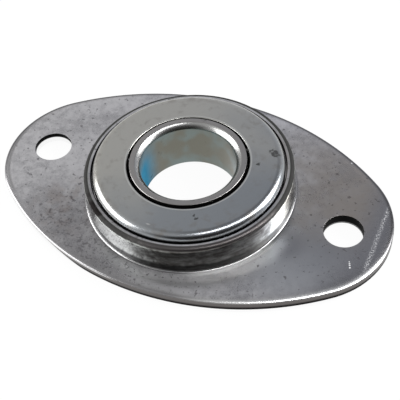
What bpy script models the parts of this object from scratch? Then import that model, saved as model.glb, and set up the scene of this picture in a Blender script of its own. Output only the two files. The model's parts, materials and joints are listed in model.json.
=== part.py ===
"""Two-bolt pressed-steel flange bearing for a one inch shaft.

Metres, +Z out of the front face, +X along the line of the two bolt holes. The origin is on the bore's
axis, in the plane of the inner ring's rear end, which is the lowest point of the part.
"""

import math

import bmesh
import bpy

MM = 0.001

# Oval flange plate: four tangent arcs, 11 gauge sheet
PLATE_LENGTH = 110.2 * MM
PLATE_WIDTH = 69.6 * MM
PLATE_END_RADIUS = 23.8 * MM
PLATE_THICKNESS = 3.0 * MM
PLATE_BACK = 1.25 * MM  # the inner ring reaches this far behind the plate
PLATE_ROLL_WIDTH = 3.0 * MM  # the shears draw the front edge over
PLATE_ROLL_DEPTH = 0.6 * MM
BOLT_SPACING = 85.7 * MM
BOLT_HOLE_RADIUS = 5.16 * MM  # 13/32 in, for 3/8 in bolts

# Collar drawn out of the plate
COLLAR_HEIGHT = 11.25 * MM  # rim above the plate's back
COLLAR_BORE_RADIUS = 25.7 * MM
COLLAR_TOP_RADIUS = 27.85 * MM
COLLAR_BASE_RADIUS = 28.2 * MM
COLLAR_SHOULDER_ROUND = 1.15 * MM
COLLAR_FOOT_FILLET = 0.5 * MM
COLLAR_ENTRY_ROUND = 2.5 * MM  # draw radius on the plate's back
COLLAR_RIM_BREAK = 0.35 * MM

# Bearing case, a 2 in by 1/2 in drawn cup
SHELL_RADIUS = 25.4 * MM
SHELL_FACE = 14.4 * MM
SHELL_WIDTH = 12.7 * MM
SHELL_WALL = 1.2 * MM
SHELL_RIM_ROUND = 2.2 * MM
SHELL_HOLE_RADIUS = 16.15 * MM
SHELL_LIP_ROUND = 1.5 * MM
SHELL_LIP_RADIUS = 22.4 * MM
SEAT_GAP = 0.3 * MM  # between pieces that seat on each other
SHIELD_THICKNESS = 1.0 * MM

# Balls and raceways
BALL_COUNT = 17
BALL_RADIUS = 3.175 * MM  # 1/4 in balls
PITCH_RADIUS = 17.9 * MM
BALL_PLANE = 8.7 * MM
RUNNING_GAP = 0.12 * MM
GROOVE_RADIUS = 3.45 * MM
RACE_LAND_RADIUS = 19.9 * MM
RACE_CORNER = 0.4 * MM

# Inner ring for a 1 in shaft
BORE_RADIUS = 12.7 * MM
RING_RADIUS = 15.43 * MM
RING_LENGTH = 14.8 * MM
RING_LIP_WIDTH = 1.35 * MM  # softened chamfer at the bore's front end
RING_LIP_DEPTH = 1.45 * MM
RING_LIP_POWER = 1.3  # 1 is a flat chamfer, 2 a quarter ellipse
RING_REAR_LIP = 0.6 * MM
RING_CORNER = 0.2 * MM

# Facets
SHOWN_FACETS = 64
INNER_FACETS = 56
BALL_FACETS = 14
BALL_ROWS = 9
HOLE_FACETS = 32
OVAL_SIDE_STEPS = 16
OVAL_END_STEPS = 18
ROLL_STEPS = 4
LIP_STEPS = 5
SMOOTH_ANGLE = math.radians(32)


def clear_scene():
    for obj in list(bpy.data.objects):
        bpy.data.objects.remove(obj, do_unlink=True)


def metal(name, colour, roughness):
    material = bpy.data.materials.new(name)
    material.use_nodes = True
    shader = material.node_tree.nodes["Principled BSDF"]
    shader.inputs["Base Color"].default_value = (*colour, 1.0)
    shader.inputs["Metallic"].default_value = 1.0
    shader.inputs["Roughness"].default_value = roughness
    return material


def arc(centre, radius, start, end, steps):
    """Points on an arc, both ends included, with angles in degrees."""
    angles = [math.radians(start + (end - start) * i / steps) for i in range(steps + 1)]
    return [(centre[0] + radius * math.cos(a), centre[1] + radius * math.sin(a)) for a in angles]


def shade(mesh):
    mesh.shade_smooth()
    mesh.set_sharp_from_angle(angle=SMOOTH_ANGLE)


def add_object(name, bm, material=None):
    mesh = bpy.data.meshes.new(name)
    bm.to_mesh(mesh)
    bm.free()
    shade(mesh)
    obj = bpy.data.objects.new(name, mesh)
    bpy.context.scene.collection.objects.link(obj)
    if material:
        mesh.materials.append(material)
    return obj


def turned(name, profile, facets, material=None):
    """A closed outline of (radius, height) points turned about Z."""
    bm = bmesh.new()
    corners = [bm.verts.new((radius, 0.0, height)) for radius, height in profile]
    edges = [bm.edges.new((a, b)) for a, b in zip(corners, corners[1:] + corners[:1])]
    bmesh.ops.spin(
        bm, geom=corners + edges, cent=(0, 0, 0), axis=(0, 0, 1), angle=math.tau, steps=facets, use_merge=True
    )
    bmesh.ops.remove_doubles(bm, verts=bm.verts, dist=0.001 * MM)
    bmesh.ops.recalc_face_normals(bm, faces=bm.faces)
    return add_object(name, bm, material)


def combine(obj, tool, operation):
    """Adds an exact Boolean to obj and keeps the tool as a hidden helper."""
    tool.hide_render = True
    tool.display_type = "WIRE"
    step = obj.modifiers.new(tool.name, "BOOLEAN")
    step.operation = operation
    step.solver = "EXACT"
    step.object = tool


def settle(obj):
    """Turns the Boolean result into the object's own mesh and removes the helpers."""
    tools = [step.object for step in obj.modifiers]
    graph = bpy.context.evaluated_depsgraph_get()
    mesh = bpy.data.meshes.new_from_object(obj.evaluated_get(graph))
    obj.modifiers.clear()
    obj.data = mesh
    shade(mesh)
    for tool in tools:
        bpy.data.objects.remove(tool, do_unlink=True)


def swell(width, depth, power, steps):
    """A quarter of a swelled corner as (across, down) pairs, from its foot up to its flat."""
    pairs = []
    for i in range(steps + 1):
        turn = math.pi / 2 * i / steps
        across = 1 - math.cos(turn) ** (2 / power)
        down = 1 - math.sin(turn) ** (2 / power)
        pairs.append((width * across, depth * down))
    return pairs


def oval_outline(inset):
    """The plate's outline, drawn in by the inset: end arcs, and side arcs tangent to them."""
    half_length = PLATE_LENGTH / 2
    half_width = PLATE_WIDTH / 2
    end_centre = half_length - PLATE_END_RADIUS
    side_radius = (end_centre**2 + half_width**2 - PLATE_END_RADIUS**2) / (2 * (half_width - PLATE_END_RADIUS))
    side_drop = side_radius - half_width
    tangent = math.degrees(math.atan2(side_drop, end_centre))
    right = arc((end_centre, 0), PLATE_END_RADIUS - inset, -tangent, tangent, OVAL_END_STEPS)
    top = arc((0, -side_drop), side_radius - inset, tangent, 180 - tangent, OVAL_SIDE_STEPS)
    half = right[:-1] + top[:-1]
    return half + [(-x, -y) for x, y in half]


def plate_blank():
    """The sheared sheet, laid up in outlines from its back to its front face."""
    front = PLATE_BACK + PLATE_THICKNESS
    rows = [(0.0, PLATE_BACK)]
    rows += [(inset, front - drop) for inset, drop in swell(PLATE_ROLL_WIDTH, PLATE_ROLL_DEPTH, 2, ROLL_STEPS)]
    bm = bmesh.new()
    loops = [[bm.verts.new((x, y, height)) for x, y in oval_outline(inset)] for inset, height in rows]
    for lower, upper in zip(loops, loops[1:]):
        for i in range(len(lower)):
            bm.faces.new((lower[i - 1], lower[i], upper[i], upper[i - 1]))
    bm.faces.new(loops[0])
    bm.faces.new(loops[-1])
    bmesh.ops.recalc_face_normals(bm, faces=bm.faces)
    return bm


def flange_plate(material):
    plate = add_object("flange_plate", plate_blank(), material)
    front = PLATE_BACK + PLATE_THICKNESS
    rim = PLATE_BACK + COLLAR_HEIGHT
    within = COLLAR_BORE_RADIUS - 3 * MM  # overlaps that the cuts below remove
    sunk = front - 0.5 * PLATE_THICKNESS

    shoulder = (COLLAR_TOP_RADIUS - COLLAR_SHOULDER_ROUND, rim - COLLAR_SHOULDER_ROUND)
    foot = (COLLAR_BASE_RADIUS + COLLAR_FOOT_FILLET, front + COLLAR_FOOT_FILLET)
    wall = [(within, rim)]
    wall += arc(shoulder, COLLAR_SHOULDER_ROUND, 90, 0, 4)
    wall += arc(foot, COLLAR_FOOT_FILLET, 180, 262, 3)
    wall += [(foot[0], sunk), (within, sunk)]
    combine(plate, turned("collar", wall, SHOWN_FACETS), "UNION")

    entry = (COLLAR_BORE_RADIUS + COLLAR_ENTRY_ROUND, PLATE_BACK + COLLAR_ENTRY_ROUND)
    below = PLATE_BACK - 2 * MM
    above = rim + 2 * MM
    bore = [(0, above), (COLLAR_BORE_RADIUS + COLLAR_RIM_BREAK, above)]
    bore += [(COLLAR_BORE_RADIUS + COLLAR_RIM_BREAK, rim), (COLLAR_BORE_RADIUS, rim - 2 * COLLAR_RIM_BREAK)]
    bore += arc(entry, COLLAR_ENTRY_ROUND, 180, 262, 4)
    bore += [(entry[0], below), (0, below)]
    combine(plate, turned("collar_bore", bore, SHOWN_FACETS), "DIFFERENCE")

    for side in (-1, 1):
        punch = [(0, above), (BOLT_HOLE_RADIUS, above), (BOLT_HOLE_RADIUS, below), (0, below)]
        hole = turned(f"bolt_hole_{side}", punch, HOLE_FACETS)
        hole.location.x = side * BOLT_SPACING / 2
        combine(plate, hole, "DIFFERENCE")
    settle(plate)
    return plate


def bearing_shell(material):
    rear = SHELL_FACE - SHELL_WIDTH
    inside = SHELL_RADIUS - SHELL_WALL
    ceiling = SHELL_FACE - SHELL_WALL
    rim = (SHELL_RADIUS - SHELL_RIM_ROUND, SHELL_FACE - SHELL_RIM_ROUND)
    lip = (SHELL_RADIUS - SHELL_LIP_ROUND, rear + SHELL_LIP_ROUND)
    profile = [(SHELL_HOLE_RADIUS, SHELL_FACE)]
    profile += arc(rim, SHELL_RIM_ROUND, 90, 0, 5)
    profile += arc(lip, SHELL_LIP_ROUND, 0, -90, 4)
    profile += [(SHELL_LIP_RADIUS, rear), (SHELL_LIP_RADIUS, rear + SHELL_WALL)]
    profile += [(inside, rear + SHELL_WALL)]
    profile += arc(rim, SHELL_RIM_ROUND - SHELL_WALL, 0, 90, 2)
    profile += [(SHELL_HOLE_RADIUS, ceiling)]
    return turned("bearing_shell", profile, SHOWN_FACETS, material)


def rear_shield(material):
    low = SHELL_FACE - SHELL_WIDTH + SHELL_WALL + SEAT_GAP
    high = low + SHIELD_THICKNESS
    edge = SHELL_RADIUS - SHELL_WALL - SEAT_GAP
    profile = [(SHELL_HOLE_RADIUS, high), (edge, high), (edge, low), (SHELL_HOLE_RADIUS, low)]
    return turned("rear_shield", profile, SHOWN_FACETS, material)


def outer_race(name, side, material):
    """Half of the split outer race: side is 1 in front of the ball plane and -1 behind it."""
    floor = SHELL_FACE - SHELL_WIDTH + SHELL_WALL + SHIELD_THICKNESS + 2 * SEAT_GAP
    end = BALL_PLANE + side * (BALL_PLANE - floor)
    split = BALL_PLANE + side * SEAT_GAP / 2
    edge = SHELL_RADIUS - SHELL_WALL - SEAT_GAP
    centre = PITCH_RADIUS + BALL_RADIUS + RUNNING_GAP - GROOVE_RADIUS
    land_angle = math.degrees(math.acos((RACE_LAND_RADIUS - centre) / GROOVE_RADIUS))
    split_angle = math.degrees(math.asin(SEAT_GAP / 2 / GROOVE_RADIUS))
    groove = arc((centre, BALL_PLANE), GROOVE_RADIUS, side * split_angle, side * land_angle, 4)
    profile = [(edge, split)] + groove + [(RACE_LAND_RADIUS, end)]
    profile += [(edge - RACE_CORNER, end), (edge, end - side * RACE_CORNER)]
    return turned(name, profile, INNER_FACETS, material)


def inner_ring(material):
    centre = PITCH_RADIUS - BALL_RADIUS - RUNNING_GAP + GROOVE_RADIUS
    half_angle = math.degrees(math.acos((centre - RING_RADIUS) / GROOVE_RADIUS))
    front_lip = swell(RING_LIP_WIDTH, RING_LIP_DEPTH, RING_LIP_POWER, LIP_STEPS)
    rear_lip = (BORE_RADIUS + RING_REAR_LIP, RING_REAR_LIP)
    profile = [(BORE_RADIUS + across, RING_LENGTH - down) for across, down in front_lip]
    profile += [(RING_RADIUS - RING_CORNER, RING_LENGTH), (RING_RADIUS, RING_LENGTH - RING_CORNER)]
    profile += arc((centre, BALL_PLANE), GROOVE_RADIUS, 180 - half_angle, 180 + half_angle, 6)
    profile += [(RING_RADIUS, RING_CORNER), (RING_RADIUS - RING_CORNER, 0)]
    profile += arc(rear_lip, RING_REAR_LIP, 270, 180, 2)
    return turned("inner_ring", profile, SHOWN_FACETS, material)


def ball_train(material):
    """A full ring of balls, carried round the bore's axis by one empty."""
    train = bpy.data.objects.new("ball_train", None)
    train.location.z = BALL_PLANE
    bpy.context.scene.collection.objects.link(train)
    bm = bmesh.new()
    bmesh.ops.create_uvsphere(bm, u_segments=BALL_FACETS, v_segments=BALL_ROWS, radius=BALL_RADIUS)
    first = add_object("ball_01", bm, material)
    balls = [first]
    for number in range(2, BALL_COUNT + 1):
        ball = bpy.data.objects.new(f"ball_{number:02d}", first.data)
        bpy.context.scene.collection.objects.link(ball)
        balls.append(ball)
    for index, ball in enumerate(balls):
        angle = math.tau * index / BALL_COUNT
        ball.parent = train
        ball.location = (PITCH_RADIUS * math.cos(angle), PITCH_RADIUS * math.sin(angle), 0)
        ball.rotation_euler.z = angle
    return balls


def main():
    clear_scene()
    flange_plate(metal("bare_steel", (0.28, 0.28, 0.29), 0.38))
    case = metal("zinc_plated_steel", (0.36, 0.37, 0.36), 0.3)
    bearing_shell(case)
    rear_shield(case)
    race = metal("hardened_steel", (0.42, 0.42, 0.43), 0.25)
    outer_race("outer_race_front", 1, race)
    outer_race("outer_race_rear", -1, race)
    inner_ring(metal("turned_steel", (0.34, 0.34, 0.34), 0.3))
    ball_train(metal("polished_steel", (0.6, 0.6, 0.61), 0.1))


main()
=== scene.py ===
import json
import math

import bmesh
import bpy
from mathutils import Matrix, Vector


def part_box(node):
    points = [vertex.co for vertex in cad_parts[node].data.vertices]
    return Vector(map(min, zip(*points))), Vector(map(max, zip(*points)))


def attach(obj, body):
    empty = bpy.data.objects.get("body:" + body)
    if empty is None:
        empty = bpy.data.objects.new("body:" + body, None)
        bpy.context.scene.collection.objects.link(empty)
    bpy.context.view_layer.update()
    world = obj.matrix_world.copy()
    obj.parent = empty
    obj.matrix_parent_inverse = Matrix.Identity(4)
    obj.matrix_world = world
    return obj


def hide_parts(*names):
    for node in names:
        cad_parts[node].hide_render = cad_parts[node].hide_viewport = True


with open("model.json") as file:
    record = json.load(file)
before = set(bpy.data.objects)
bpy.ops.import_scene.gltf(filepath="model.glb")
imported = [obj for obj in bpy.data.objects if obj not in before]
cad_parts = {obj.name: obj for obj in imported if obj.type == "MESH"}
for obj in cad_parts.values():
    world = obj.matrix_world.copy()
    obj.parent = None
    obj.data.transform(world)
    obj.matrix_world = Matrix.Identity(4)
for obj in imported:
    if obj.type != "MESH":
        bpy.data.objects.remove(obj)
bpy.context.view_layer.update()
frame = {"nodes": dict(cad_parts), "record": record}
print("frame loaded,", len(frame["nodes"]), "solids")

mm = 0.001


# a socket that can be written in sums, so a mask reads as plain maths
class Wire:
    def __init__(self, tree, socket=None):
        self.tree = tree
        self.socket = socket

    def node(self, kind, settings=None, values=None, out=0):
        made = self.tree.nodes.new(kind)
        for name, setting in (settings or {}).items():
            setattr(made, name, setting)
        for name, value in (values or {}).items():
            if isinstance(value, Wire):
                self.tree.links.new(value.socket, made.inputs[name])
            else:
                made.inputs[name].default_value = value
        return Wire(self.tree, made.outputs[out])

    def sum(self, operation, first, second=0.0):
        return self.node("ShaderNodeMath", {"operation": operation}, {0: first, 1: second})

    def __add__(self, other):
        return self.sum("ADD", self, other)

    def __radd__(self, other):
        return self.sum("ADD", other, self)

    def __sub__(self, other):
        return self.sum("SUBTRACT", self, other)

    def __rsub__(self, other):
        return self.sum("SUBTRACT", other, self)

    def __mul__(self, other):
        return self.sum("MULTIPLY", self, other)

    def __rmul__(self, other):
        return self.sum("MULTIPLY", other, self)

    def __truediv__(self, other):
        return self.sum("DIVIDE", self, other)

    def __pow__(self, other):
        return self.sum("POWER", self, other)

    def __abs__(self):
        return self.sum("ABSOLUTE", self)

    def larger(self, other):
        return self.sum("MAXIMUM", self, other)

    def smaller(self, other):
        return self.sum("MINIMUM", self, other)

    # 0 at the first number and 1 at the second, whichever is the larger
    def ease(self, empty, full):
        low, high = min(empty, full), max(empty, full)
        ends = (0.0, 1.0) if full > empty else (1.0, 0.0)
        return self.node("ShaderNodeMapRange", {"interpolation_type": "SMOOTHSTEP"}, {
            "Value": self, "From Min": low, "From Max": high, "To Min": ends[0], "To Max": ends[1]})

    # 1 between the two middle numbers, 0 past the outer two
    def between(self, low, lowFull, highFull, high):
        return self.ease(low, lowFull) * self.ease(high, highFull)

    def noise(self, scale, detail, roughness):
        return self.node("ShaderNodeTexNoise", None, {
            "Vector": self, "Scale": scale, "Detail": detail, "Roughness": roughness})

    # the same place, drawn out along the axes
    def stretched(self, x, y, z):
        return self.node("ShaderNodeVectorMath", {"operation": "MULTIPLY"}, {0: self, 1: (x, y, z)})

    def apart(self):
        return [self.node("ShaderNodeSeparateXYZ", None, {0: self}, axis) for axis in range(3)]


def blend(first, second, mask):
    return mask.node("ShaderNodeMix", {"data_type": "RGBA"}, {0: mask, 6: first, 7: second}, 2)


def colour(red, green, blue):
    return (red, green, blue, 1.0)


# a metal whose looks are worked out by a recipe from the place on the part, in millimetres
def metal(name, recipe, gloss=0.5):
    made = bpy.data.materials.new(name)
    made.use_nodes = True
    tree = made.node_tree
    shader = tree.nodes["Principled BSDF"]
    shader.inputs["Metallic"].default_value = 1.0
    shader.inputs["Specular IOR Level"].default_value = gloss
    start = Wire(tree)
    place = start.node("ShaderNodeTexCoord", None, None, "Object")
    spot = start.node("ShaderNodeVectorMath", {"operation": "SCALE"}, {0: place, "Scale": 1.0 / mm}, 0)
    facing = start.node("ShaderNodeTexCoord", None, None, "Normal")
    for socket, value in recipe(spot, facing).items():
        tree.links.new(value.socket, shader.inputs[socket])
    print("material", name, "with", len(tree.nodes), "nodes")
    return made


def bumped(height, distance, strength):
    return height.node("ShaderNodeBump", None, {
        "Height": height, "Distance": distance * mm, "Strength": strength})


def fromCentre(x, y, atX, atY):
    return ((x - atX) * (x - atX) + (y - atY) * (y - atY)) ** 0.5


# a soft round area, 0 past the outer radius and 1 inside the inner one
def patch(x, y, atX, atY, outer, inner):
    return fromCentre(x, y, atX, atY).ease(outer, inner)


# how much of a small round mark covers the place
def dab(x, y, atX, atY, size):
    return patch(x, y, atX, atY, size, size * 0.35)


# moves a value to each level in turn, as far as its mask says
def settled(value, *steps):
    for level, mask in steps:
        value = value + (level - value) * mask
    return value


plateLook = {
    "dark": colour(0.385, 0.381, 0.395),
    "light": colour(0.575, 0.568, 0.582),
    "clean": colour(0.375, 0.388, 0.412),
    "dim": colour(0.190, 0.192, 0.212),
    "warmDim": colour(0.270, 0.235, 0.200),
    "pale": colour(0.66, 0.66, 0.67),
    "speck": colour(0.060, 0.055, 0.060),
    "stain": colour(0.245, 0.185, 0.150),
    "nickedAndHighlight": colour(0.88, 0.88, 0.88),
    "edge": colour(0.250, 0.246, 0.252),
    "farEdgeShade": colour(0.110, 0.108, 0.112),
    "land": colour(0.125, 0.115, 0.112),
    "side": colour(0.012, 0.010, 0.010),
    "black": colour(0.004, 0.004, 0.004),
    "burnished": colour(0.80, 0.83, 0.80),
    "cut": colour(0.93, 0.93, 0.93),
    "darkShoulder": colour(0.010, 0.008, 0.008),
    "darkShoulderFront": colour(0.080, 0.074, 0.074),
    "scale": colour(0.050, 0.044, 0.040),
    "scaleAndShadeWay": (0.574, -0.819),     # the side of the wall that is painted darkest, with scale and painted shade
    "footWay": (0.707, -0.707),       # the side of the foot where a highlight is painted
    # areas: x, y, outer and inner radius in mm
    "cleaned": (34.0, -12.0, 20.0, 5.0),
    "warmed": (27.0, 9.0, 25.0, 8.0),
    "paled": (11.0, -28.0, 19.0, 4.0),
    "dulled": (30.5, -9.5, 7.0, 1.5),
    "stained": (-28.0, -18.0, 14.0, 2.0),
    "speckled": (-20.0, -24.5, 27.0, 4.0),
    "freckled": (-4.0, -30.0, 26.0, 6.0),
    # a long rub mark across the right end
    "scratchAt": 51.45,
    "scratchWander": 1.4,
    "scratchLow": -11.0,
    "scratchHigh": 15.5,
    "scratchFade": 3.0,
    # small bright nicks: x, y, size in mm
    "nicks": (
        (47.1, -8.7, 0.24), (47.3, -9.2, 0.28), (47.5, -9.7, 0.30), (47.8, -10.4, 0.36),
        (37.7, 23.3, 0.40)),
}


def plateRecipe(spot, facing):
    look = plateLook
    back, front, rim = plate["back"], plate["back"] + plate["thickness"], collar["rim"]
    x, y, z = spot.apart()
    up = facing.apart()[2]
    radius = (x * x + y * y) ** 0.5
    cloud = spot.noise(0.075, 3.0, 0.6)
    mottle = spot.noise(0.5, 4.0, 0.62)
    grain = spot.noise(3.2, 2.0, 0.6)
    tone = (cloud * 0.40 + mottle * 0.38 + grain * 0.22).ease(0.40, 0.60)
    base = blend(look["dark"], look["light"], tone)
    cleaned = patch(x, y, *look["cleaned"]) * cloud.ease(0.2, 0.5)
    base = blend(base, look["clean"], cleaned * 0.8)

    # the right half is painted darker in mottled patches, warm at the back and cool in front: partly tone,
    # partly painted shade of the light falling off to the right
    dullAndShaded = x.ease(10.0, 56.0) * y.ease(-22.0, -4.0).larger(x.ease(34.0, 50.0))
    dullAndShaded = dullAndShaded * (mottle * 0.9 + cloud * 0.6).smaller(1.25)
    dim = blend(look["dim"], look["warmDim"], y.ease(-9.0, 6.0) * x.ease(52.0, 42.0))
    base = blend(base, dim, dullAndShaded * 0.99)
    warmed = patch(x, y, *look["warmed"]) * spot.noise(0.2, 4.0, 0.65).ease(0.30, 0.62)
    base = blend(base, look["warmDim"], warmed * 0.42)

    # in front of the collar's foot it is painted paler, a painted light where the plate would mirror the
    # dark wall, and it is darker along the lowest part of the edge
    paled = patch(x, y, *look["paled"]) * radius.ease(36.0, 30.5) * radius.ease(29.4, 32.6)
    base = blend(base, look["pale"], paled * 0.95)
    low = y.ease(-27.5, -33.0) * abs(x + 4.0).ease(24.0, 8.0)
    base = blend(base, look["edge"], low * 0.55)

    # a darker line is painted inside the edge of the left end, a painted shade along the roll-over
    fromEnd = fromCentre(x, y, plate["endRadius"] - plate["halfLength"], 0.0)
    rollShade = fromEnd.between(21.9, 22.5, 22.6, 23.1) * x.ease(-42.0, -47.0) * y.ease(10.0, 0.0)
    base = blend(base, look["edge"], rollShade * mottle.ease(0.3, 0.5) * 0.8)
    base = blend(base, look["dim"], patch(x, y, *look["dulled"]) * 0.6)
    stained = patch(x, y, *look["stained"]) * spot.noise(0.22, 4.0, 0.6).ease(0.42, 0.62)
    base = blend(base, look["stain"], stained * 0.4)

    # specks and finer dots, thickest at the lower left
    crowd = patch(x, y, *look["speckled"]) * 0.085
    sown = crowd.larger(patch(x, y, *look["freckled"]) * 0.047)
    specks = (spot.noise(0.75, 3.0, 0.55) + sown).ease(0.635, 0.70)
    dots = (spot.noise(1.35, 2.0, 0.5) + sown * 1.3).ease(0.695, 0.75)
    marks = specks.larger(dots)
    base = blend(base, look["speck"], (marks * 0.7).larger(crowd * 5.0))

    rubbed = abs(x - look["scratchAt"] - (cloud - 0.5) * look["scratchWander"]).ease(0.9, 0.1)
    rubbed = rubbed * y.between(
        look["scratchLow"], look["scratchLow"] + look["scratchFade"],
        look["scratchHigh"] - look["scratchFade"], look["scratchHigh"])
    rubbed = rubbed * spot.noise(2.6, 3.0, 0.65).ease(0.45, 0.62) * 0.7
    for nick in look["nicks"]:
        rubbed = rubbed.larger(dab(x, y, *nick))
    base = blend(base, look["nickedAndHighlight"], rubbed)

    # the rolled front edge is dark, painted darker at the far side as a painted shade, and painted bright
    # at the near right as a painted highlight
    inHole = fromCentre(abs(x), y, plate["boltReach"], 0.0)
    inHole = inHole.ease(plate["holeRadius"] + 0.35, plate["holeRadius"] + 0.12)
    outside = radius.ease(30.2, 30.8) * (1.0 - inHole)
    rolled = up.between(0.10, 0.45, 0.960, 0.998) * outside
    base = blend(base, look["edge"], rolled)
    base = blend(base, look["farEdgeShade"], rolled * y.ease(-14.0, 4.0))
    base = blend(base, look["nickedAndHighlight"], rolled * x.ease(8.0, 26.0) * y.ease(-2.0, -12.0))

    # the cut side is duller; its torn lower part and the punched hole walls are painted black, a painted
    # shade of the shadowed floor they face
    side = abs(up).ease(0.40, 0.12) * outside
    tornAndShaded = z.ease(back + 1.45, back + 0.75)
    base = blend(base, blend(look["land"], look["side"], tornAndShaded), side)
    punched = inHole * abs(up).ease(0.95, 0.70)
    base = blend(base, look["black"], punched)

    # a bright band is painted low on the cut and in the holes, tall at the left end and gone at the right:
    # partly the burnished band the shears leave, partly a painted highlight, with a thin painted highlight
    # line under the roll at the left end
    cutBand = (z - (back + x.ease(-13.0, -30.0) * 1.9)).ease(0.2, -0.2)
    landHighlight = z.between(front - 1.05, front - 0.90, front - 0.70, front - 0.55) * x.ease(-4.0, -11.0)
    holeBand = (z - (back + x.ease(30.0, -30.0) * 1.2 + 0.45)).ease(0.15, -0.15)
    holeBand = holeBand * x.ease(40.0, 30.0).larger(z.ease(back + 0.15, back + 0.30) * 0.3)
    band = (side * cutBand.larger(landHighlight)).larger(punched * holeBand)
    base = blend(base, look["cut"], band)
    black = (punched + side * z.ease(back + 1.0, back + 0.5)) * (1.0 - band)

    # the drawn wall is burnished by the die; it is painted dark in front, partly scale and partly painted
    # shade, and painted dark low down by the foot as a painted shade
    streak = spot.stretched(0.5, 0.5, 1.5).noise(0.7, 3.0, 0.6)
    nearWall = radius.between(26.35, 26.70, 28.9, 29.4)
    wall = nearWall * z.ease(front, front + 0.2)
    base = blend(base, look["burnished"], wall * streak.ease(0.15, 0.40))
    facingScaleAndShade = (x * look["scaleAndShadeWay"][0] + y * look["scaleAndShadeWay"][1]) / radius
    ahead = (facingScaleAndShade + (mottle - 0.5) * 0.35).ease(0.66, 0.90)
    scaleAndShade = wall * ahead.larger(cloud.ease(0.60, 0.70))
    base = blend(base, look["scale"], scaleAndShade * (0.60 + streak * 0.6).smaller(0.97))
    footShade = wall * z.ease(front + 0.30, front + 0.65) * (z + mottle).ease(front + 3.3, front + 2.4)
    base = blend(base, look["black"], footShade * 0.85)

    # in front the plate is matt next to the foot, and a bright line is painted on the foot toward the
    # right, a painted highlight
    foot = radius.between(27.9, 28.1, 28.7, 29.0) * z.ease(front + 0.5, front + 0.3)
    base = blend(base, look["edge"], foot * 0.75)
    matt = radius.between(28.5, 28.9, 29.6, 32.6) * y.ease(-12.0, -22.0) * x.ease(-12.0, 2.0)
    facingHighlight = (x * look["footWay"][0] + y * look["footWay"][1]) / radius
    footHighlight = radius.between(28.3, 28.6, 29.2, 30.2) * facingHighlight.ease(0.88, 0.97)
    base = blend(base, look["nickedAndHighlight"], footHighlight * 0.9)

    # the shoulder is painted near black, less so in front, and the pocket behind it is painted black, a
    # painted shade in the recess
    ragged = z + (mottle - 0.5) * 0.6 + (grain - 0.5) * 0.4
    darkShoulder = nearWall * ragged.ease(rim - 1.08, rim - 0.52)
    base = blend(base, blend(look["darkShoulder"], look["darkShoulderFront"], ahead), darkShoulder * 0.95)
    pocketShade = radius.ease(26.05, 25.85) * z.ease(rim - 3.0, rim - 2.0)
    base = blend(base, look["black"], pocketShade)
    base = blend(base, look["speck"], wall * spot.noise(1.1, 3.0, 0.6).ease(0.62, 0.70) * 0.5)

    rough = settled(
        0.27 + tone * 0.04 + marks * 0.15,
        (0.13, wall), (0.46, matt), (0.24, rolled), (0.50, rubbed), (0.32, side),
        (0.75, (darkShoulder * (1.0 - ahead * 0.6)).larger(black)), (0.12, band))
    height = (grain * 0.5 + mottle * 0.6 - marks * 1.2) * (1.0 - rolled * 0.8)
    return {"Base Color": base, "Roughness": rough, "Normal": bumped(height, 0.012, 0.32)}


caseLook = {
    "warm": colour(0.425, 0.420, 0.395),
    "cool": colour(0.290, 0.308, 0.325),
    "dull": colour(0.235, 0.218, 0.200),
    "smudge": colour(0.05, 0.05, 0.05),
    "hidden": colour(0.015, 0.014, 0.013),
    "rubbed": colour(0.62, 0.62, 0.60),
    "nick": (-0.2, -22.8, 0.30),
    "nickSquash": 0.4,                # of its x, so the nick comes out short and wide
    # x, y, size in mm
    "smudges": ((20.2, 10.5, 1.4), (17.5, 5.4, 0.6), (9.0, -16.3, 0.40), (10.0, -16.9, 0.55)),
    "smudgeRagged": 3.6,
}


def caseRecipe(spot, facing):
    look = caseLook
    x, y, z = spot.apart()
    radius = (x * x + y * y) ** 0.5
    cloud = spot.noise(0.06, 3.0, 0.55)
    mottle = spot.noise(0.4, 4.0, 0.6)
    grain = spot.noise(4.0, 2.0, 0.6)
    # the face is painted darker and cooler toward the right and front, a painted shade of how the light
    # falls there, mottled by the cloud noise
    base = blend(look["warm"], look["cool"], (x * 0.022 - y * 0.016 + cloud).ease(0.15, 1.0))
    rimStain = radius.ease(21.8, 23.6) * spot.noise(0.3, 4.0, 0.6).ease(0.48, 0.66)
    base = blend(base, look["dull"], mottle.ease(0.52, 0.75) * 0.45 + rimStain * 0.45)
    smudged = mottle * 0.0
    uneven = (spot.noise(1.1, 3.0, 0.65) - 0.5) * look["smudgeRagged"]
    for atX, atY, size in look["smudges"]:
        ragged = fromCentre(x, y, atX, atY) + uneven * size
        smudged = smudged.larger(ragged.ease(size, size * 0.5))
    base = blend(base, look["smudge"], smudged * 0.85)
    rubbed = radius.between(16.35, 16.48, 16.70, 16.85)
    rubbed = rubbed.larger(dab(x * look["nickSquash"], y, *look["nick"]))
    base = blend(base, look["rubbed"], rubbed * 0.6)

    # the running gap round the inner ring is painted black on the case, a painted shade
    inside = radius.ease(16.42, 16.30) * z.ease(case["face"] - 0.06, case["face"] - 0.20)
    base = blend(base, look["hidden"], inside)
    rough = settled(0.20 + mottle * 0.08 + smudged * 0.2, (0.6, inside))
    height = grain * 0.4 + mottle
    return {"Base Color": base, "Roughness": rough, "Normal": bumped(height, 0.008, 0.4)}


ringLook = {
    "turned": colour(0.300, 0.290, 0.285),
    "lip": colour(0.33, 0.33, 0.325),
    "plated": colour(0.185, 0.222, 0.215),
    "brown": colour(0.170, 0.158, 0.125),
    "blue": colour(0.020, 0.165, 0.275),
    "hidden": colour(0.015, 0.014, 0.013),
    "blued": (-11.4, -5.6, 11.5, 4.0),    # x, y, outer and inner radius in mm
    "blueFades": (13.5, 8.0),             # height where the blue is weak, and where it is full
    "filmGloss": 0.0,
}


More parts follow.
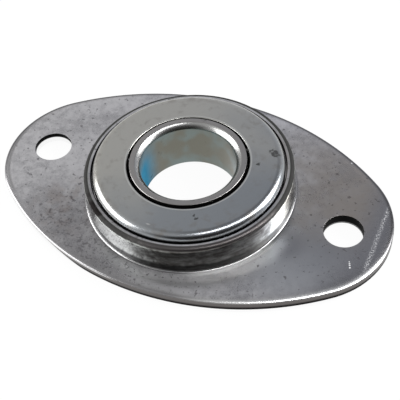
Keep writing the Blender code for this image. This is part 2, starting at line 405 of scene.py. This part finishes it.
def ringRecipe(spot, facing):
    look = ringLook
    x, y, z = spot.apart()
    radius = (x * x + y * y) ** 0.5
    lathe = spot.stretched(0.0, 0.0, 1.0).noise(6.0, 3.0, 0.6)
    mottle = spot.noise(0.5, 4.0, 0.6)
    cloud = spot.noise(0.14, 2.0, 0.5)
    inBore = radius.ease(12.95, 12.75)
    lip = radius.ease(14.1, 13.9) * (1.0 - inBore)
    plated = blend(look["plated"], look["brown"], cloud.ease(0.38, 0.60) * 0.8)
    tint = patch(x, y, *look["blued"]) * (0.40 + z.ease(*look["blueFades"]) * 0.60)
    plated = blend(plated, look["blue"], tint * (0.92 + mottle * 0.4).smaller(1.0))
    base = blend(look["turned"], look["lip"], lip)
    base = blend(base, plated, inBore)
    base = blend(base, look["hidden"], mottle.ease(0.66, 0.74) * 0.35)
    # the ring's outer corner at the running gap is painted black, a painted shade
    outside = radius.ease(15.22, 15.34) * z.ease(ring["front"] - 0.06, ring["front"] - 0.16)
    base = blend(base, look["hidden"], outside)
    rough = settled(0.24 + mottle * 0.10, (0.27, lip), (0.6, outside))
    height = lathe * 0.6 + mottle * 0.5
    # the blue film is less of a mirror than the bare metal
    film = 1.0 - inBore * tint * 0.85
    return {"Base Color": base, "Roughness": rough, "Metallic": film, "Normal": bumped(height, 0.006, 0.4)}


raceLook = {"bright": colour(0.30, 0.30, 0.30), "grease": colour(0.05, 0.045, 0.04)}


# the raceways are ground bright under a film of dark grease
def raceRecipe(spot, facing):
    mottle = spot.noise(0.6, 3.0, 0.6)
    base = blend(raceLook["grease"], raceLook["bright"], mottle.ease(0.35, 0.70))
    height = spot.stretched(0.2, 0.2, 1.0).noise(5.0, 2.0, 0.5)
    return {"Base Color": base, "Roughness": 0.22 + mottle * 0.1, "Normal": bumped(height, 0.004, 0.3)}


ballLook = {"steel": colour(0.60, 0.60, 0.61), "grease": colour(0.10, 0.09, 0.075)}


def ballRecipe(spot, facing):
    film = spot.noise(0.35, 3.0, 0.55)
    base = blend(ballLook["steel"], ballLook["grease"], film.ease(0.40, 0.60) * 0.8)
    height = spot.noise(2.5, 2.0, 0.5)
    rough = 0.08 + film.ease(0.5, 0.75) * 0.18
    return {"Base Color": base, "Roughness": rough, "Normal": bumped(height, 0.002, 0.2)}


# profiles are lists of (radius, height) in mm, drawn once round
def arc(midRadius, midHeight, size, start, end, steps=10):
    points = []
    for step in range(steps + 1):
        angle = math.radians(start + (end - start) * step / steps)
        points.append((midRadius + size * math.cos(angle), midHeight + size * math.sin(angle)))
    return points


# a point close to each end of a straight run keeps the smooth shading of the arc off the flat
def held(points, closed=True, reach=0.18):
    out = []
    count = len(points)
    for index, (radius, height) in enumerate(points):
        out.append((radius, height))
        if index == count - 1 and not closed:
            break
        nextRadius, nextHeight = points[(index + 1) % count]
        length = math.hypot(nextRadius - radius, nextHeight - height)
        if length > 3.0 * reach:
            for share in (reach / length, 1.0 - reach / length):
                out.append((radius + (nextRadius - radius) * share, height + (nextHeight - height) * share))
    return out


def newTree(name, inputs):
    tree = bpy.data.node_groups.new(name, "GeometryNodeTree")
    for label, kind in inputs:
        tree.interface.new_socket(label, in_out="INPUT", socket_type=kind)
    tree.interface.new_socket("Made", in_out="OUTPUT", socket_type="NodeSocketGeometry")
    entry = tree.nodes.new("NodeGroupInput")
    return tree, {label: Wire(tree, entry.outputs[label]) for label, kind in inputs}


def endTree(tree, shape, finish):
    real = shape.node("GeometryNodeRealizeInstances", None, {"Geometry": shape})
    done = real.node("GeometryNodeSetMaterial", None, {"Geometry": real, "Material": finish})
    leave = tree.nodes.new("NodeGroupOutput")
    tree.links.new(done.socket, leave.inputs[0])


# sweeps a profile drawn in the XZ plane round the bore's axis
def turnedTree():
    tree, given = newTree("turned ring", [
        ("Profile", "NodeSocketGeometry"), ("Facets", "NodeSocketInt"),
        ("Path Radius", "NodeSocketFloat"), ("Finish", "NodeSocketMaterial")])
    drawn = Wire(tree)
    radius, across, height = drawn.node("GeometryNodeInputPosition").apart()
    flat = drawn.node("ShaderNodeCombineXYZ", None, {"X": radius - given["Path Radius"], "Y": 0.0 - height})
    laid = drawn.node("GeometryNodeSetPosition", None, {"Geometry": given["Profile"], "Position": flat})
    curve = drawn.node("GeometryNodeMeshToCurve", None, {"Mesh": laid})
    path = drawn.node("GeometryNodeCurvePrimitiveCircle", {"mode": "RADIUS"}, {
        "Resolution": given["Facets"], "Radius": given["Path Radius"]})
    upright = drawn.node("GeometryNodeSetCurveNormal", {"mode": "Z_UP"}, {"Curve": path})
    swept = drawn.node("GeometryNodeCurveToMesh", None, {"Curve": upright, "Profile Curve": curve})
    smooth = drawn.node("GeometryNodeSetShadeSmooth", None, {"Geometry": swept})
    endTree(tree, smooth, given["Finish"])
    return tree


# one ball on each point of the pitch circle
def ballTree():
    tree, given = newTree("ball row", [
        ("Blank", "NodeSocketGeometry"), ("Balls", "NodeSocketInt"), ("Pitch Radius", "NodeSocketFloat"),
        ("Ball Radius", "NodeSocketFloat"), ("Height", "NodeSocketFloat"), ("Segments", "NodeSocketInt"),
        ("Finish", "NodeSocketMaterial")])
    drawn = Wire(tree)
    pitch = drawn.node("GeometryNodeMeshCircle", None, {
        "Vertices": given["Balls"], "Radius": given["Pitch Radius"]})
    lift = drawn.node("ShaderNodeCombineXYZ", None, {"Z": given["Height"]})
    raised = drawn.node("GeometryNodeSetPosition", None, {"Geometry": pitch, "Offset": lift})
    ball = drawn.node("GeometryNodeMeshUVSphere", None, {
        "Segments": given["Segments"], "Rings": given["Segments"] / 2.0, "Radius": given["Ball Radius"]})
    smooth = drawn.node("GeometryNodeSetShadeSmooth", None, {"Geometry": ball})
    row = drawn.node("GeometryNodeInstanceOnPoints", None, {"Points": raised, "Instance": smooth})
    endTree(tree, row, given["Finish"])
    return tree


# runs a tree on a starting mesh and keeps the result as a plain closed mesh
def grown(name, start, tree, inputs):
    seed = bpy.data.objects.new(name + "-seed", start)
    bpy.context.scene.collection.objects.link(seed)
    modifier = seed.modifiers.new("grow", "NODES")
    modifier.node_group = tree
    for item in tree.interface.items_tree:
        if item.in_out == "INPUT" and item.name in inputs:
            modifier[item.identifier] = inputs[item.name]
    seen = seed.evaluated_get(bpy.context.evaluated_depsgraph_get())
    made = bpy.data.meshes.new_from_object(seen)
    seed.modifiers.remove(modifier)
    bpy.data.objects.remove(seed)
    return closedPiece(name, made)


def closedPiece(name, mesh, sharp=32.0):
    shape = bmesh.new()
    shape.from_mesh(mesh)
    bmesh.ops.remove_doubles(shape, verts=shape.verts, dist=0.0005 * mm)
    bmesh.ops.recalc_face_normals(shape, faces=shape.faces)
    shape.to_mesh(mesh)
    shape.free()
    mesh.shade_smooth()
    mesh.set_sharp_from_angle(angle=math.radians(sharp))
    piece = bpy.data.objects.new(name, mesh)
    bpy.context.scene.collection.objects.link(piece)
    print("piece", name, "with", len(mesh.polygons), "faces")
    return piece


def profileMesh(points):
    mesh = bpy.data.meshes.new("profile")
    corners = [(radius * mm, 0.0, height * mm) for radius, height in points]
    edges = [(index, (index + 1) % len(corners)) for index in range(len(corners))]
    mesh.from_pydata(corners, edges, [])
    return mesh


ringTree = turnedTree()


def turned(name, points, finish, facets=240, pathRadius=10.0):
    return grown(name, profileMesh(held(points)), ringTree, {
        "Facets": facets, "Path Radius": pathRadius * mm, "Finish": finish})


def seat(piece, body, slot, *nodes):
    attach(piece, body)
    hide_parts(*nodes)


plateLow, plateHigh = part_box("flange_plate")
plate = {
    "halfLength": (plateHigh.x - plateLow.x) / 2.0 / mm,
    "halfWidth": (plateHigh.y - plateLow.y) / 2.0 / mm,
    "back": plateLow.z / mm,
    "thickness": 3.0,
    "endRadius": 23.8,
    "rollWide": 3.0,          # the punch draws the front edge over
    "rollDeep": 0.6,
    "rollSteps": 18,
    "backBreak": 0.12,
    "boltReach": 42.85,
    "holeRadius": 5.16,
    "holeRoll": 0.08,
    "arcSteps": 80,
    "holeSteps": 80,
}
collar = {
    "rim": plateHigh.z / mm,
    "boreRadius": 25.70,
    "topRadius": 27.85,
    "baseRadius": 28.22,
    "shoulder": 1.15,
    "foot": 0.40,
    "entry": 2.50,
    "rimBreak": 0.35,
    "facets": 256,
}


# the outline is four arcs, and an inset keeps their middles
def ovalLoop(inset, height):
    endMiddle = plate["halfLength"] - plate["endRadius"]
    spare = plate["halfWidth"] - plate["endRadius"]
    sideRadius = (endMiddle ** 2 + plate["halfWidth"] ** 2 - plate["endRadius"] ** 2) / (2.0 * spare)
    drop = sideRadius - plate["halfWidth"]
    meet = math.degrees(math.atan2(drop, endMiddle))
    runs = [
        (endMiddle, 0.0, plate["endRadius"], -meet, meet),
        (0.0, -drop, sideRadius, meet, 180.0 - meet),
        (-endMiddle, 0.0, plate["endRadius"], 180.0 - meet, 180.0 + meet),
        (0.0, drop, sideRadius, 180.0 + meet, 360.0 - meet)]
    loop = []
    for midX, midY, size, start, end in runs:
        for step in range(plate["arcSteps"]):
            angle = math.radians(start + (end - start) * step / plate["arcSteps"])
            reach = size - inset
            loop.append((midX + reach * math.cos(angle), midY + reach * math.sin(angle), height))
    return loop


def roundLoop(midX, radius, height, steps):
    loop = []
    for step in range(steps):
        angle = 2.0 * math.pi * step / steps
        loop.append((midX + radius * math.cos(angle), radius * math.sin(angle), height))
    return loop


# lays the loops into the mesh, joins each to the next, and gives back the edges of the first and last
def skinLoops(shape, loops):
    rows = [[shape.verts.new(Vector(point) * mm) for point in loop] for loop in loops]
    for lower, upper in zip(rows, rows[1:]):
        for index in range(len(lower)):
            after = (index + 1) % len(lower)
            shape.faces.new((lower[index], lower[after], upper[after], upper[index]))
    ends = []
    for row in (rows[0], rows[-1]):
        ends.append([shape.edges.get(pair) for pair in zip(row, row[1:] + row[:1])])
    return ends


def pressedPlate():
    back = plate["back"]
    front = back + plate["thickness"]
    shape = bmesh.new()

    # outside edge from the back face to the front face
    wide, deep, broken = plate["rollWide"], plate["rollDeep"], plate["backBreak"]
    edge = [(0.9, back), (broken + 0.1, back), (broken, back), (0.0, back + broken)]
    edge += [(0.0, back + 0.4), (0.0, front - deep - 0.15)]
    for step in range(plate["rollSteps"] + 1):
        angle = math.radians(90.0 * step / plate["rollSteps"])
        edge.append((wide * (1.0 - math.cos(angle)), front - deep * (1.0 - math.sin(angle))))
    edge += [(wide + 0.2, front), (wide + 0.9, front)]
    outBack, outFront = skinLoops(shape, [ovalLoop(inset, height) for inset, height in edge])

    # bolt holes, punched from the front
    size, roll = plate["holeRadius"], plate["holeRoll"]
    hole = [(size + 0.7, back), (size + 0.15, back), (size + 0.05, back)]
    hole += [(size, back + 0.05), (size, back + 0.3), (size, front - roll - 0.15)]
    hole += arc(size + roll, front - roll, roll, 180.0, 90.0, 6)
    hole += [(size + roll + 0.15, front), (size + roll + 0.7, front)]
    holeBack, holeFront = [], []
    for midX in (-plate["boltReach"], plate["boltReach"]):
        first, last = skinLoops(shape, [roundLoop(midX, r, z, plate["holeSteps"]) for r, z in hole])
        holeBack += first
        holeFront += last

    # the collar, from the front face over the rim and down the bore to the back face
    rim, bore, base, top = collar["rim"], collar["boreRadius"], collar["baseRadius"], collar["topRadius"]
    foot, entry, shoulder, broken = collar["foot"], collar["entry"], collar["shoulder"], collar["rimBreak"]
    drawn = [(base + foot + 1.2, front), (base + foot + 0.3, front)]
    drawn += arc(base + foot, front + foot, foot, 270.0, 180.0)
    drawn += arc(top - shoulder, rim - shoulder, shoulder, 0.0, 90.0, 14)
    drawn += arc(bore + broken, rim - broken, broken, 90.0, 180.0, 4)
    drawn += arc(bore + entry, back + entry, entry, 180.0, 270.0, 12)
    drawn += [(bore + entry + 0.3, back), (bore + entry + 1.2, back)]
    loops = [roundLoop(0.0, r, z, collar["facets"]) for r, z in held(drawn, closed=False)]
    collarFront, collarBack = skinLoops(shape, loops)

    frontEdges = outFront + holeFront + collarFront
    backEdges = outBack + holeBack + collarBack
    bmesh.ops.triangle_fill(shape, edges=frontEdges, use_beauty=True, normal=(0, 0, 1))
    bmesh.ops.triangle_fill(shape, edges=backEdges, use_beauty=True, normal=(0, 0, -1))
    mesh = bpy.data.meshes.new("plate")
    shape.to_mesh(mesh)
    shape.free()
    mesh.materials.append(plateSteel)
    return closedPiece("flange_pressing", mesh, 40.0)


plateSteel = metal("plate steel", plateRecipe)
seat(pressedPlate(), "housing", "plate_steel", "flange_plate")


shellLow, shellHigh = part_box("bearing_shell")
case = {
    "radius": shellHigh.x / mm,
    "face": shellHigh.z / mm,
    "rear": shellLow.z / mm,
    "wall": 1.2,
    "rimRound": 2.2,
    "holeRadius": 16.15,
    "holeRound": 0.30,
    "lipRadius": 22.4,
    "lipRound": 1.5,
}


# a drawn cup with its rear edge rolled in over the shield
def caseProfile():
    c = case
    inner = c["radius"] - c["wall"]
    back = c["face"] - c["wall"]
    edge = c["holeRound"]
    points = arc(c["holeRadius"] + edge, c["face"] - edge, edge, 180.0, 90.0, 6)
    points += arc(c["radius"] - c["rimRound"], c["face"] - c["rimRound"], c["rimRound"], 90.0, 0.0, 16)
    points += arc(c["radius"] - c["lipRound"], c["rear"] + c["lipRound"], c["lipRound"], 0.0, -90.0, 12)
    points += [(c["lipRadius"], c["rear"]), (c["lipRadius"], c["rear"] + c["wall"])]
    inside = c["lipRound"] - c["wall"]
    points += arc(inner - inside, c["rear"] + c["wall"] + inside, inside, -90.0, 0.0, 4)
    under = c["rimRound"] - c["wall"]
    points += arc(inner - under, back - under, under, 0.0, 90.0, 6)
    points += [(c["holeRadius"], back)]
    return points


caseZinc = metal("case zinc", caseRecipe)
seat(turned("bearing_case", caseProfile(), caseZinc), "housing", "case_steel", "bearing_shell")


shieldLow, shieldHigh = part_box("rear_shield")
shield = {
    "outer": shieldHigh.x / mm,
    "holeRadius": 16.15,
    "rear": shieldLow.z / mm,
    "front": shieldHigh.z / mm,
    "round": 0.2,
}


def washerProfile(inner, outer, low, high, size):
    points = arc(inner + size, high - size, size, 180.0, 90.0, 4)
    points += arc(outer - size, high - size, size, 90.0, 0.0, 4)
    points += arc(outer - size, low + size, size, 0.0, -90.0, 4)
    points += arc(inner + size, low + size, size, -90.0, -180.0, 4)
    return points


shieldPoints = washerProfile(
    shield["holeRadius"], shield["outer"], shield["rear"], shield["front"], shield["round"])
seat(turned("rear_cover", shieldPoints, caseZinc), "housing", "case_steel", "rear_shield")


ballLow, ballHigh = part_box("ball_01")
balls = {
    "count": 17,
    "radius": (ballHigh.z - ballLow.z) / 2.0 / mm,
    "pitch": (ballHigh.x + ballLow.x) / 2.0 / mm,
    "plane": (ballHigh.z + ballLow.z) / 2.0 / mm,
    "segments": 48,
}
groove = {"radius": 3.45, "land": 19.9, "corner": 0.4}


# one half of the split outer raceway, its groove open to the balls
def raceProfile(low, high, outer, front):
    corner = groove["corner"]
    split = low if front else high
    reach = split - balls["plane"]
    start = math.degrees(math.asin(reach / groove["radius"]))
    end = math.degrees(math.acos((groove["land"] - balls["pitch"]) / groove["radius"]))
    end = end if front else -end
    far = high if front else low
    sign = 1.0 if front else -1.0
    points = arc(balls["pitch"], balls["plane"], groove["radius"], start, end, 14)
    points += [(groove["land"], far - sign * 0.2), (groove["land"] + 0.2, far)]
    points += arc(outer - corner, far - sign * corner, corner, sign * 90.0, 0.0, 4)
    points += [(outer, split)]
    return points


raceSteel = metal("race steel", raceRecipe)
raceHalves = (("outer_race_front", "raceway_front", True), ("outer_race_rear", "raceway_rear", False))
for node, name, front in raceHalves:
    low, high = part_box(node)
    points = raceProfile(low.z / mm, high.z / mm, high.x / mm, front)
    seat(turned(name, points, raceSteel), "housing", "race_steel", node)


ringLow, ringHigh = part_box("inner_ring")
ring = {
    "boreRadius": 12.70,
    "radius": ringHigh.x / mm,
    "rear": ringLow.z / mm,
    "front": ringHigh.z / mm,
    "lipWide": 1.35,
    "lipDeep": 1.45,
    "lipPower": 1.3,          # 1 is a flat chamfer, 2 a round
    "lipSteps": 18,
    "rearLip": 0.60,
    "corner": 0.18,
    "grooveRadius": 3.45,
}


def ringProfile():
    r = ring
    half = math.degrees(math.acos((balls["pitch"] - r["radius"]) / r["grooveRadius"]))
    points = []
    for step in range(r["lipSteps"] + 1):
        angle = math.radians(90.0 * step / r["lipSteps"])
        outward = 1.0 - math.cos(angle) ** (2.0 / r["lipPower"])
        downward = 1.0 - math.sin(angle) ** (2.0 / r["lipPower"])
        points.append((r["boreRadius"] + r["lipWide"] * outward, r["front"] - r["lipDeep"] * downward))
    points += arc(r["radius"] - r["corner"], r["front"] - r["corner"], r["corner"], 90.0, 0.0, 5)
    points += arc(balls["pitch"], balls["plane"], r["grooveRadius"], 180.0 - half, 180.0 + half, 20)
    points += arc(r["radius"] - r["corner"], r["rear"] + r["corner"], r["corner"], 0.0, -90.0, 5)
    points += arc(r["boreRadius"] + r["rearLip"], r["rear"] + r["rearLip"], r["rearLip"], -90.0, -180.0, 8)
    return points


ringZinc = metal("ring zinc", ringRecipe, ringLook["filmGloss"])
seat(turned("inner_race", ringProfile(), ringZinc), "inner_ring", "ring_steel", "inner_ring")


ballSteel = metal("ball steel", ballRecipe)
blank = bpy.data.meshes.new("blank")
blank.from_pydata([(0.0, 0.0, 0.0)], [], [])
ballRow = grown("ball_row", blank, ballTree(), {
    "Balls": balls["count"], "Pitch Radius": balls["pitch"] * mm, "Ball Radius": balls["radius"] * mm,
    "Height": balls["plane"] * mm, "Segments": balls["segments"], "Finish": ballSteel})
seat(ballRow, "ball_set", "ball_steel", *frame["record"]["behaviour"]["bodies"]["ball_set"])


view = {
    "azimuth": 28.0853,
    "elevation": 49.4499,
    "roll": -5.5904,
    "distance": 239.480,      # mm
    "aim": (3.094, -1.213, 1.25),
    "lens": 79.756,
    "sensor": 36.0,
}
azimuth = math.radians(view["azimuth"])
elevation = math.radians(view["elevation"])
roll = math.radians(view["roll"])
toCamera = Vector((math.sin(azimuth), -math.cos(azimuth), 0.0))
toRight = Vector((math.cos(azimuth), math.sin(azimuth), 0.0))
backward = toCamera * math.cos(elevation) + Vector((0.0, 0.0, math.sin(elevation)))
upward = backward.cross(toRight)
sideAxis = toRight * math.cos(roll) + upward * math.sin(roll)
topAxis = upward * math.cos(roll) - toRight * math.sin(roll)

lens = bpy.data.cameras.new("camera")
lens.sensor_fit = "HORIZONTAL"
lens.sensor_width = view["sensor"]
lens.lens = view["lens"]
lens.clip_start = 0.01
camera = bpy.data.objects.new("camera", lens)
spotSeen = Vector(view["aim"]) * mm + backward * view["distance"] * mm
camera.matrix_world = Matrix((
    (sideAxis.x, topAxis.x, backward.x, spotSeen.x),
    (sideAxis.y, topAxis.y, backward.y, spotSeen.y),
    (sideAxis.z, topAxis.z, backward.z, spotSeen.z),
    (0.0, 0.0, 0.0, 1.0)))
bpy.context.scene.collection.objects.link(camera)
bpy.context.scene.camera = camera


# directions round the part are given from the camera's side, right positive, in degrees
def toward(side, height):
    turn, rise = math.radians(side), math.radians(height)
    level = toCamera * math.cos(turn) + toRight * math.sin(turn)
    return level * math.cos(rise) + Vector((0.0, 0.0, math.sin(rise)))


# each softbox is a strip between two directions
softboxes = {
    "left": {"from": (-122.0, 18.0), "to": (-70.0, 26.0), "distance": 0.60, "tall": 0.36, "level": 7.0},
    "right": {"from": (110.0, 36.0), "to": (76.0, 30.0), "distance": 0.60, "tall": 0.35, "level": 12.0},
    "rightHigh": {"from": (78.0, 46.0), "to": (4.0, 67.0), "distance": 0.60, "tall": 0.12, "level": 9.0},
}
for name, box in softboxes.items():
    first, last = toward(*box["from"]), toward(*box["to"])
    aim = (first + last).normalized()
    along = (last - first).normalized()
    wide = 2.0 * box["distance"] * math.tan(first.angle(last) / 2.0)
    lamp = bpy.data.lights.new(name, "AREA")
    lamp.shape = "RECTANGLE"
    lamp.size = wide
    lamp.size_y = box["tall"]
    lamp.energy = box["level"] * math.pi * wide * box["tall"]
    holder = bpy.data.objects.new(name, lamp)
    across = aim.cross(along)
    holder.matrix_world = Matrix((along, across, aim)).transposed().to_4x4()
    holder.location = aim * box["distance"]
    bpy.context.scene.collection.objects.link(holder)


studio = {
    "level": 1.86,        # of a pale room that falls off with height and to the right
    "fallUp": 1.60,
    "fallRight": 0.95,
    "least": 0.26,
    "most": 0.72,
    "left": colour(1.0, 1.0, 1.0),
    "right": colour(0.95, 0.97, 1.04),
    "shade": colour(0.020, 0.018, 0.016),
    "shadeSide": 14.0,
    "shadeHeight": 0.36,
    "shadeTall": 0.40,
    "shadeWide": 0.80,
}


# a pale room with the dark of the camera's own side
def studioWorld():
    world = bpy.data.worlds.new("studio")
    world.use_nodes = True
    tree = world.node_tree
    ground = tree.nodes["Background"]
    start = Wire(tree)
    way = start.node("ShaderNodeTexCoord", None, None, "Generated")
    dot = {"operation": "DOT_PRODUCT"}
    middle, edge = toward(studio["shadeSide"], 0.0), toward(studio["shadeSide"] + 90.0, 0.0)
    ahead = start.node("ShaderNodeVectorMath", dot, {0: way, 1: middle}, "Value")
    aside = start.node("ShaderNodeVectorMath", dot, {0: way, 1: edge}, "Value")
    rightward = start.node("ShaderNodeVectorMath", dot, {0: way, 1: toRight}, "Value")
    height = way.apart()[2]
    level = studio["level"] - height * studio["fallUp"] - rightward * studio["fallRight"]
    level = level.larger(studio["least"]).smaller(studio["most"])
    room = blend(studio["left"], studio["right"], rightward.ease(-0.2, 0.2))
    across = aside / studio["shadeWide"]
    along = (height - studio["shadeHeight"]) / studio["shadeTall"]
    shaded = (across * across + along * along).ease(1.4, 0.6) * ahead.ease(0.0, 0.2)
    room = blend(room, studio["shade"], shaded)
    tree.links.new(room.socket, ground.inputs["Color"])
    tree.links.new(level.socket, ground.inputs["Strength"])
    bpy.context.scene.world = world


studioWorld()


floorLook = {
    "reach": 4.0,
    "below": 0.0002,
    "paper": colour(0.82, 0.82, 0.82),
    "white": colour(1.0, 1.0, 1.0),
    "glowShare": 0.95,
}


# seen as white, and lit as paper that keeps the part's shadow
def paleFloor():
    mesh = bpy.data.meshes.new("floor")
    reach = floorLook["reach"]
    corners = [(-reach, -reach, 0.0), (reach, -reach, 0.0), (reach, reach, 0.0), (-reach, reach, 0.0)]
    mesh.from_pydata(corners, [], [(0, 1, 2, 3)])
    floor = bpy.data.objects.new("floor", mesh)
    floor.location.z = -floorLook["below"]
    white = bpy.data.materials.new("floor white")
    white.use_nodes = True
    tree = white.node_tree
    tree.nodes.clear()
    start = Wire(tree)
    rays = [start.node("ShaderNodeLightPath", None, None, name)
            for name in ("Is Camera Ray", "Is Glossy Ray", "Is Transmission Ray")]
    seen = rays[0].larger(rays[1]).larger(rays[2])
    paper = start.node("ShaderNodeBsdfDiffuse", None, {"Color": floorLook["paper"]})
    glow = start.node("ShaderNodeEmission", None, {"Color": floorLook["white"], "Strength": 1.0})
    mixed = start.node("ShaderNodeMixShader", None, {0: seen * floorLook["glowShare"], 1: paper, 2: glow})
    leave = tree.nodes.new("ShaderNodeOutputMaterial")
    tree.links.new(mixed.socket, leave.inputs["Surface"])
    mesh.materials.append(white)
    bpy.context.scene.collection.objects.link(floor)


paleFloor()
bpy.context.scene.view_settings.view_transform = "Standard"
print("camera, lamps and floor placed")
